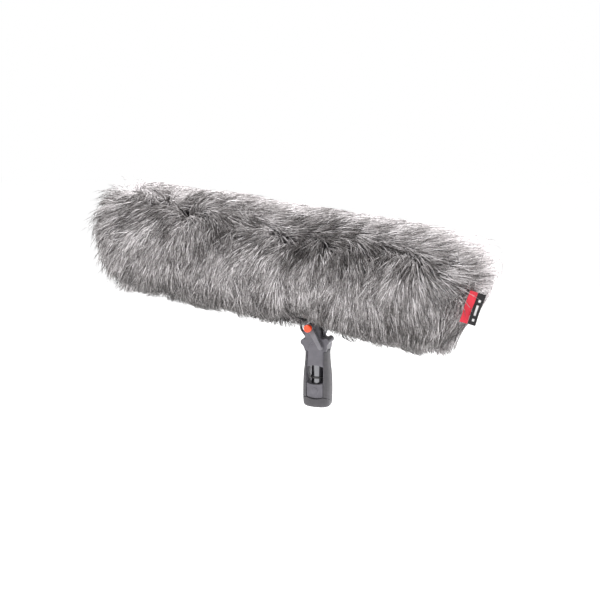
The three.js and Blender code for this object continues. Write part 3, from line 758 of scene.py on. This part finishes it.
def tones(roots, angle, offset, lock, tuft, kind):
    """Lightness of each strand from 0 to 1, by its place on the coat and its lock, with painted shade
    along the parting and on the underside, and painted light over the top and on the upper rear end.
    """
    count = len(roots)
    x = roots[:, 0]
    patch = lattice_noise(roots, *PATCH_NOISE) + 0.6 * lattice_noise(roots, *SMALL_PATCH_NOISE)
    tone = TONE + PATCH_TONE * patch + LOCK_TONE * (lock - 0.5) + TUFT_TONE * (tuft - 0.5)
    # painted shade along the parting
    parting_shade = np.exp(-((offset - 0.04) / PARTING_SHADE_WIDTH) ** 2)
    parting_shade = parting_shade * smoothstep(SEAM_FRONT - 0.02, SEAM_FRONT + 0.05, x)
    tone -= PARTING_PAINTED_SHADE * parting_shade * (0.8 + 0.6 * lattice_noise(roots, *PARTING_SHADE_NOISE))
    # painted light over the top, beyond the parting
    tone += TOP_PAINTED_LIGHT * smoothstep(-0.1, -0.5, offset)
    # painted light on the upper rear end, lit from behind
    tone += REAR_PAINTED_LIGHT * smoothstep(0.12, 0.2, x) * smoothstep(1.5, 0.9, angle)
    # painted shade on the underside
    tone -= UNDERSIDE_PAINTED_SHADE * smoothstep(1.6, 2.3, np.abs(angle))
    dark = rng.random(count) < kind["dark"] * (1 + 0.8 * lattice_noise(roots, *DARK_HAIR_NOISE))
    tone = np.where(dark, tone - rng.uniform(*DARK_HAIR, count), tone)
    return tone + TONE_SPREAD * rng.normal(size=count)


def strand_meshes(line, tone, width, kind, materials):
    """Tapered three-sided strands, in pieces small enough to export whole."""
    count = len(line)
    tangent = np.gradient(line, axis=1)
    tangent /= np.maximum(np.linalg.norm(tangent, axis=2, keepdims=True), 1e-9)
    seed = normalised(rng.normal(size=(count, 3)))[:, None, :]
    side = np.cross(tangent, np.broadcast_to(seed, tangent.shape))
    side /= np.maximum(np.linalg.norm(side, axis=2, keepdims=True), 1e-9)
    other = np.cross(tangent, side)
    share = np.arange(SEGMENTS) / SEGMENTS
    thick = width[:, None] * np.interp(share, *TAPER)
    rings = []
    for k in range(STRAND_SIDES):
        turn = 2 * math.pi * k / STRAND_SIDES
        offset = side[:, :-1] * math.cos(turn) + other[:, :-1] * math.sin(turn)
        rings.append(line[:, :-1] + offset * thick[..., None])
    ring = np.stack(rings, axis=2).reshape(count, SEGMENTS * STRAND_SIDES, 3)
    verts = np.concatenate([ring, line[:, -1:]], axis=1)
    per = SEGMENTS * STRAND_SIDES + 1
    quads = []
    for s in range(SEGMENTS - 1):
        for k in range(STRAND_SIDES):
            a = STRAND_SIDES * s + k
            b = STRAND_SIDES * s + (k + 1) % STRAND_SIDES
            quads.append((a, b, b + STRAND_SIDES, a + STRAND_SIDES))
    last = STRAND_SIDES * (SEGMENTS - 1)
    caps = [(last + k, last + (k + 1) % STRAND_SIDES, per - 1) for k in range(STRAND_SIDES)]
    caps.append((2, 1, 0))
    shade_at = np.interp((np.arange(SEGMENTS) + 0.5) / SEGMENTS, *kind["shading"])
    shade = np.round((tone[:, None] + shade_at) * (SHADES - 1))
    shade = np.clip(shade, 0, SHADES - 1).astype(np.int32)
    quad_shade = np.repeat(shade[:, :-1], STRAND_SIDES, axis=1)
    tip_shade = np.repeat(shade[:, -1:], STRAND_SIDES, axis=1)
    cap_shade = np.concatenate([tip_shade, shade[:, :1]], axis=1)
    world = to_world(verts.reshape(-1, 3)).reshape(count, per, 3)
    made_pieces = []
    pieces = np.array_split(np.arange(count), math.ceil(count / STRANDS_PER_PIECE))
    for number, chosen in enumerate(pieces):
        name = f"{kind['name']}_{number + 1:02d}"
        made = mesh_from(name, world[chosen], quads, caps, quad_shade[chosen], cap_shade[chosen])
        made_pieces.append(add_piece(name, made, "screen", materials))
    return made_pieces


def mesh_from(name, verts, quads, caps, quad_shade, cap_shade):
    """One mesh from many copies of a strand's faces."""
    count, per = verts.shape[:2]
    offset = (np.arange(count) * per)[:, None, None]
    four = (np.array(quads)[None] + offset).reshape(-1)
    three = (np.array(caps)[None] + offset).reshape(-1)
    mesh = bpy.data.meshes.new(name)
    mesh.vertices.add(count * per)
    mesh.vertices.foreach_set("co", verts.astype(np.float32).ravel())
    mesh.loops.add(len(four) + len(three))
    mesh.loops.foreach_set("vertex_index", np.concatenate([four, three]).astype(np.int32))
    four_starts = np.arange(len(four) // 4) * 4
    three_starts = len(four) + np.arange(len(three) // 3) * 3
    starts = np.concatenate([four_starts, three_starts])
    mesh.polygons.add(len(starts))
    mesh.polygons.foreach_set("loop_start", starts.astype(np.int32))
    shades = np.concatenate([quad_shade.ravel(), cap_shade.ravel()])
    mesh.polygons.foreach_set("material_index", shades.astype(np.int32))
    mesh.update(calc_edges=True)
    mesh.validate()
    return mesh


# shading: shares of the length from the root, and the change of shade there
KINDS = [
    {"name": "underfur", "count": 66000, "length": 0.036, "radius": 0.00036, "stray": 0.18,
     "lift": 0.04, "dark": 0.16,
     "shading": ([0, 0.3, 0.7, 1], [-0.50, -0.08, 0.05, 0.0])},
    {"name": "guard_hair", "count": 62000, "length": 0.053, "radius": 0.00040, "stray": 0.21,
     "lift": 0.0, "dark": 0.26,
     "shading": ([0, 0.3, 0.55, 0.75, 1], [-0.50, -0.04, 0.05, -0.34, -0.70])},
]


def make_fur():
    materials = fur_materials()
    pile = []
    for kind in KINDS:
        line, *facts = strands(kind["count"], kind)
        tone = tones(*facts, kind) + kind["lift"]
        width = kind["radius"] * rng.uniform(0.6, 1.25, len(line))
        pile += strand_meshes(line, tone, width, kind, materials)
    return pile


TURN_STEPS = 96


def never(centre):
    return False


def revolved(name, profile, thickness, skip=never):
    """A shell turned about the tube, open where skip says, with its thickness inside."""
    build = bmesh.new()
    rings = []
    turns = np.linspace(0, 2 * math.pi, TURN_STEPS, endpoint=False)
    for x, r in profile:
        if r < 1e-6:
            rings.append([build.verts.new(to_world(cut_back(np.array([x, 0, 0]))))])
        else:
            ring = around(np.full(TURN_STEPS, x), np.full(TURN_STEPS, r), turns)
            rings.append([build.verts.new(point) for point in to_world(cut_back(ring))])
    for near, far in zip(rings, rings[1:]):
        for k in range(TURN_STEPS):
            after = (k + 1) % TURN_STEPS
            corners = [near[k % len(near)], near[after % len(near)],
                       far[after % len(far)], far[k % len(far)]]
            corners = list(dict.fromkeys(corners))
            centre = to_tube([c.co for c in corners]).mean(axis=0)
            if not skip(centre):
                build.faces.new(corners).smooth = True
    bmesh.ops.recalc_face_normals(build, faces=build.faces)
    loose = [v for v in build.verts if not v.link_faces]
    bmesh.ops.delete(build, geom=loose, context="VERTS")
    mesh = bpy.data.meshes.new(name)
    build.to_mesh(mesh)
    build.free()
    piece = bpy.data.objects.new(name, mesh)
    scene.collection.objects.link(piece)
    solidify = piece.modifiers.new("solidify", "SOLIDIFY")
    solidify.thickness = thickness
    solidify.offset = -1
    apply_modifiers(piece)
    return piece


def open_slot(centre):
    return bool(bare(centre[None])[0])


def inset(profile, depth):
    """A profile moved inwards along its normals."""
    slope = np.gradient(profile, axis=0)
    slope /= np.hypot(slope[:, 0], slope[:, 1])[:, None]
    moved = profile + depth * np.stack([slope[:, 1], -slope[:, 0]], axis=1)
    moved[:, 1] = np.maximum(moved[:, 1], 0)
    moved[[0, -1], 1] = profile[[0, -1], 1]
    return moved


BACKING_DEPTH = 0.0066
CLOTH = 0.0006
NET = 0.0004
NET_STEPS = 40


def make_backing(on_it):
    """The knitted cloth that holds the pile, stretched over the basket."""
    profile = inset(PROFILE, BACKING_DEPTH)
    backing = revolved("backing_cloth", profile, CLOTH, open_slot)
    backing.data.materials.append(MATERIALS["fabric"])
    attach(backing, "screen")


def outer_profile(node):
    """A node's outer outline about the tube, as (x, r) from its front to its rear."""
    points = node_points(node)
    radius = np.hypot(points[:, 1], points[:, 2])
    outline = {}
    for x, r in zip(np.round(points[:, 0], 4), radius):
        outline[x] = max(r, outline.get(x, 0))
    return np.array(sorted(outline.items()))


def make_net(node):
    """Acoustic mesh stretched over the basket or one of its domes."""
    outline = outer_profile(node)
    fine = np.linspace(outline[0, 0], outline[-1, 0], NET_STEPS)
    profile = np.stack([fine, np.interp(fine, *outline.T)], axis=1)
    net = revolved(f"{node}_cloth", profile, NET)
    net.data.materials.append(MATERIALS["mesh"])
    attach(net, body_of(node))
    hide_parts(node)


def thin_box_axes(node):
    """Centre, and the width, height and thickness vectors of a thin flat node."""
    corners = np.array([v.co for v in nodes[node].data.vertices])
    centre = corners.mean(axis=0)
    _, _, axes = np.linalg.svd(corners - centre)
    high, wide, thin = [axis * np.ptp((corners - centre) @ axis) for axis in axes]
    thin = thin if thin[1] < 0 else -thin
    high = high if high[2] > 0 else -high
    wide = wide if wide[0] > 0 else -wide
    return centre, wide, high, thin


CURL = 0.0011
LABEL_GRID = (10, 28)
# plain woven bars: shares of the label's height, and where they start across it
BARS = [(0.12, 0.20), (0.30, 0.62), (0.72, 0.80)]
BAR_START = 0.36
BAR_WIDTH = 0.28
BAR_GAP = 0.0002
BAR_THICKNESS = 0.0003
BAR_GRID = (4, 10)


def on_label(node, across, up, proud=0.0):
    """A point on a label's outer face, across and up from 0 to 1, with its slight curl."""
    centre, wide, high, thin = thin_box_axes(node)
    curl = CURL * math.sin(2.2 * math.pi * up + 2 * across)
    out = thin / np.linalg.norm(thin)
    return centre + wide * (across - 0.5) + high * (up - 0.5) + out * (curl + proud)


def grid_piece(name, place, columns, rows, thickness):
    """A thin sheet over a grid of points."""
    build = bmesh.new()
    verts = [[build.verts.new(place(i / columns, j / rows)) for i in range(columns + 1)]
             for j in range(rows + 1)]
    for j in range(rows):
        for i in range(columns):
            build.faces.new([verts[j][i], verts[j][i + 1], verts[j + 1][i + 1], verts[j + 1][i]])
    mesh = bpy.data.meshes.new(name)
    build.to_mesh(mesh)
    build.free()
    piece = bpy.data.objects.new(name, mesh)
    scene.collection.objects.link(piece)
    solid = piece.modifiers.new("solidify", "SOLIDIFY")
    solid.thickness = thickness
    apply_modifiers(piece)
    return piece


def on_bar(node, low, top, across, up):
    """A point on a bar woven on a label, across and up from 0 to 1."""
    return on_label(node, BAR_START + BAR_WIDTH * across, low + (top - low) * up, CLOTH + BAR_GAP)


def make_label(node):
    cloth = grid_piece(f"{node}_cloth", partial(on_label, node), *LABEL_GRID, CLOTH)
    cloth.data.materials.append(MATERIALS[slot_of(node)])
    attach(cloth, body_of(node))
    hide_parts(node)
    if node == "label":
        thread = woven("white_thread", (0.78, 0.76, 0.76), 0.0005)
        for number, (low, top) in enumerate(BARS):
            place = partial(on_bar, node, low, top)
            bar = grid_piece(f"label_bar_{number + 1}", place, *BAR_GRID, BAR_THICKNESS)
            bar.data.materials.append(thread)
            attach(bar, body_of(node))


TAPE_OUT = 0.0035  # a tape's middle, from the zip's
TAPE_WIDTH = 0.0042
TAPE_THICKNESS = 0.0007
TOOTH_PITCH = 0.0017
TOOTH_OUT = 0.0005
TOOTH_SIZE = (0.0011, 0.0026, 0.0016)
TOOTH_BEVEL = 0.0001


def add_block(build, centre, size):
    """A small block in tube space."""
    made = bmesh.ops.create_cube(build, size=1.0)["verts"]
    for vert in made:
        vert.co = Vector(to_world(np.array(centre) + np.array(vert.co) * np.array(size)))


def make_zip():
    """Two woven tapes and the rows of teeth between them."""
    points = node_points("zip_tape")
    low, high = points.min(axis=0), points.max(axis=0)
    middle_x, middle_z = (low[0] + high[0]) / 2, (low[2] + high[2]) / 2
    build = bmesh.new()
    for side in (-1, 1):
        add_block(build, (middle_x, side * TAPE_OUT, middle_z),
                  (high[0] - low[0], TAPE_WIDTH, TAPE_THICKNESS))
    tape_faces = len(build.faces)
    for k in range(int((high[0] - low[0]) / TOOTH_PITCH)):
        side = 1 if k % 2 else -1
        place = (low[0] + (k + 0.5) * TOOTH_PITCH, side * TOOTH_OUT, middle_z)
        add_block(build, place, TOOTH_SIZE)
    build.faces.ensure_lookup_table()
    for face in build.faces[tape_faces:]:
        face.material_index = 1
    mesh = bpy.data.meshes.new("zip_rows")
    build.to_mesh(mesh)
    build.free()
    finishes = [MATERIALS["fabric"], MATERIALS["dark_plastic"]]
    rows = add_piece("zip_rows", mesh, "screen", finishes, smooth=False)
    bevel = rows.modifiers.new("bevel", "BEVEL")
    bevel.width = TOOTH_BEVEL
    apply_modifiers(rows)
    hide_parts("zip_tape")
    return rows


UNDERCOAT = 0.006


def make_undercoat():
    """The dense woolly layer under the long pile."""
    wool = new_material("underwool", (0.13, 0.115, 0.11), 0.95)
    tint = ramp(wool, noise(wool, 420.0, 5.0, 0.7),
                [(0.3, (0.05, 0.042, 0.038)), (0.75, (0.24, 0.22, 0.21))])
    link(wool, tint, shader_of(wool).inputs["Base Color"])
    bump(wool, noise(wool, 900.0, 3.0), 0.8, 0.001)
    coat = revolved("undercoat", PROFILE, UNDERCOAT, open_slot)
    coat.data.materials.append(wool)
    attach(coat, "screen")
    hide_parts(*SLEEVE_NODES, "fur_front_cap", "fur_rear_cap")
    return coat


# ----------------------------------------------------------------- grip pieces
SOFTENED = [
    # node, voxel size, smoothing passes
    ("grip_core", 0.00045, 5),
    ("grip_skin_front", 0.00045, 8),
    ("grip_skin_rear", 0.00045, 8),
    ("emblem_plate_near", 0.0003, 3),
    ("emblem_plate_far", 0.0003, 3),
    ("base_cap", 0.00045, 6),
    ("clamp_lever", 0.0003, 5),
    ("release_button", 0.00025, 5),
    ("tilt_head", 0.0007, 3),
]
OWN_FINISH = {
    "clamp_lever": moulded("lever_plastic", (0.15, 0.145, 0.16), 0.42),
    "base_cap": moulded("base_rubber", (0.05, 0.047, 0.052), 0.5, 3200.0),
}
SPRING_TURNS = 7
SPRING_WIRE = 0.0004  # the wire's radius
STEPS_PER_TURN = 20
WIRE_SIDES = 8


def make_spring():
    """The button's coil spring, wound inside the spring node's box."""
    low, high = (np.array(corner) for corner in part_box("button_spring"))
    centre = (low + high) / 2
    radius = (high[0] - low[0]) / 2 - SPRING_WIRE
    start, end = low[1] + SPRING_WIRE, high[1] - SPRING_WIRE
    count = SPRING_TURNS * STEPS_PER_TURN
    build = bmesh.new()
    rings = []
    for k in range(count + 1):
        turn = 2 * math.pi * k / STEPS_PER_TURN
        out = np.array((math.cos(turn), 0.0, math.sin(turn)))
        middle = np.array((centre[0], start + (end - start) * k / count, centre[2])) + radius * out
        ring = []
        for j in range(WIRE_SIDES):
            angle = 2 * math.pi * j / WIRE_SIDES
            offset = math.cos(angle) * out + math.sin(angle) * np.array((0.0, 1.0, 0.0))
            ring.append(build.verts.new(middle + SPRING_WIRE * offset))
        rings.append(ring)
    for near, far in zip(rings, rings[1:]):
        for j in range(WIRE_SIDES):
            k = (j + 1) % WIRE_SIDES
            build.faces.new([near[j], near[k], far[k], far[j]])
    build.faces.new(rings[0][::-1])
    build.faces.new(rings[-1])
    bmesh.ops.recalc_face_normals(build, faces=build.faces)
    mesh = bpy.data.meshes.new("button_coil")
    build.to_mesh(mesh)
    build.free()
    coil = add_piece("button_coil", mesh, body_of("button_spring"), [MATERIALS["steel"]])
    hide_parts("button_spring")
    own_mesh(coil)


def make_grip():
    for node, voxel, passes in SOFTENED:
        finish = OWN_FINISH.get(node, MATERIALS[slot_of(node)])
        softened(node, f"{node}_moulded", voxel, passes, finish)
    for node, obj in nodes.items():
        slot = slot_of(node)
        if slot in MATERIALS:
            obj.data.materials.clear()
            obj.data.materials.append(MATERIALS[slot])


make_floor()
make_lights()
undercoat = make_undercoat()
pile = make_fur()
binding = softened("slot_binding", "slot_binding_rolled", 0.0005, 6, MATERIALS["fabric"])
make_backing([undercoat, binding, make_zip(), *pile])
for net_node in ("basket_net", "front_dome_net", "rear_dome_net"):
    make_net(net_node)
for label_node in ("label", "label_ribbon"):
    make_label(label_node)
make_grip()
make_spring()
